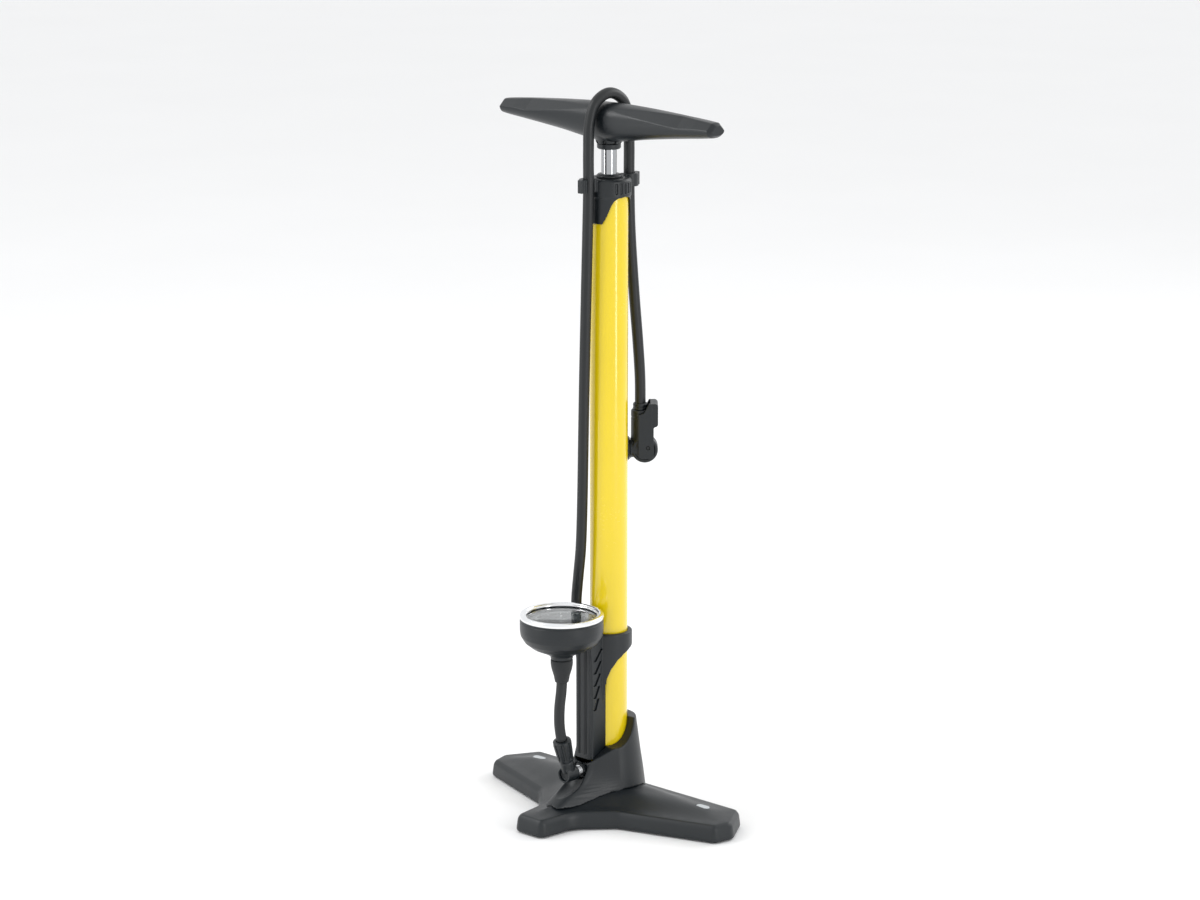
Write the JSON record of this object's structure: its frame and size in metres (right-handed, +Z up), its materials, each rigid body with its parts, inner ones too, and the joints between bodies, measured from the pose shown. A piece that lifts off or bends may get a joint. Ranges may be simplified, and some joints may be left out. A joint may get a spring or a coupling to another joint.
{
  "type": "floor bike pump",
  "caption": "Upright floor pump on a three-footed base: yellow barrel, black bar handle, horizontal pressure gauge, and a hose looped over the handle to a lever-lock head.",
  "frame": {"origin": "on the floor, under the middle of the base's box", "axes": "+Z up along the barrel, +X along the handle to the user's right, front foot and gauge towards -Y"},
  "size_m": [0.2924, 0.1645, 0.6762],
  "materials": {
    "black_plastic": "satin moulded black plastic with fine grain",
    "yellow_paint": "glossy yellow enamel on a metal tube",
    "rod_steel": "polished plated steel",
    "fastener_steel": "plain zinc-plated steel",
    "bezel_metal": "bright turned metal ring",
    "soft_rubber": "matt black rubber",
    "hose_rubber": "smooth black rubber hose",
    "brass": "machined brass",
    "dial_face": "printed grey dial",
    "needle_white": "pale painted pointer",
    "lens_clear": "clear window",
    "inlay_grey": "plain pale grey inlay"
  },
  "bodies": {
    "root": {"base_body": "black_plastic", "hub_cowl": "black_plastic", "top_cap": "black_plastic", "rod_bush": "black_plastic", "gauge_stand": "black_plastic", "gauge_housing": "black_plastic", "hose_port": "black_plastic", "outlet_nut": "black_plastic", "elbow_fitting": "black_plastic", "feed_collar": "black_plastic", "head_body": "black_plastic", "nozzle_ring": "black_plastic", "barrel": "yellow_paint", "outlet_spigot": "rod_steel", "cowl_screw_left": "fastener_steel", "cowl_screw_right": "fastener_steel", "clamp_screw": "fastener_steel", "lever_pin": "fastener_steel", "head_ferrule": "fastener_steel", "valve_spring": "fastener_steel", "gauge_bezel": "bezel_metal", "foot_pad_left": "soft_rubber", "foot_pad_right": "soft_rubber", "foot_pad_front": "soft_rubber", "gauge_boot": "soft_rubber", "head_gasket": "soft_rubber", "main_hose": "hose_rubber", "feed_hose": "hose_rubber", "valve_body": "brass", "gauge_socket": "brass", "bourdon_tube": "brass", "movement_plate": "brass", "dial": "dial_face", "gauge_lens": "lens_clear", "badge_left": "inlay_grey", "badge_right": "inlay_grey"},
    "handle_unit": {"handle": "black_plastic", "rod": "rod_steel", "rod_collar": "black_plastic", "piston": "black_plastic", "piston_ring": "soft_rubber", "piston_washer": "fastener_steel", "piston_screw": "fastener_steel"},
    "lever": {"head_lever": "black_plastic"},
    "plunger": {"head_plunger": "brass"},
    "pointer": {"needle": "needle_white"},
    "sector": {"sector_gear": "brass"},
    "valve": {"check_valve": "brass"}
  },
  "joints": [
    {"name": "rod_slide", "type": "slide", "parent": "root", "child": "handle_unit", "axis": [0, 0, 1], "range_m": [0, 0.46], "deforming": ["main_hose"]},
    {"name": "lever_turn", "type": "hinge", "parent": "root", "child": "lever", "pos_m": [0.01253, 0.0737, 0.3435], "axis": [-0.6756, 0.7373, 0], "range_deg": [0, 95]},
    {"name": "plunger_slide", "type": "slide", "parent": "root", "child": "plunger", "axis": [-0.7373, -0.6756, 0], "range_m": [0, 0.003]},
    {"name": "pointer_turn", "type": "hinge", "parent": "root", "child": "pointer", "pos_m": [0, -0.0295, 0.19], "axis": [0, 0, -1], "range_deg": [0, 270], "stiffness_Nm_per_rad": 0.0005},
    {"name": "sector_swing", "type": "hinge", "parent": "root", "child": "sector", "pos_m": [-0.01, -0.0295, 0.185], "axis": [0, 0, 1], "range_deg": [0, 80]},
    {"name": "valve_lift", "type": "slide", "parent": "root", "child": "valve", "axis": [0, 0, -1], "range_m": [0, 0.002], "stiffness_N_per_m": 150, "springref_m": -0.003, "deforming": ["valve_spring"]}
  ],
  "couplings": [
    {"joint": "plunger_slide", "follows": "lever_turn", "m_per_rad": 0.0017},
    {"joint": "sector_swing", "follows": "pointer_turn", "ratio": 0.2933}
  ]
}
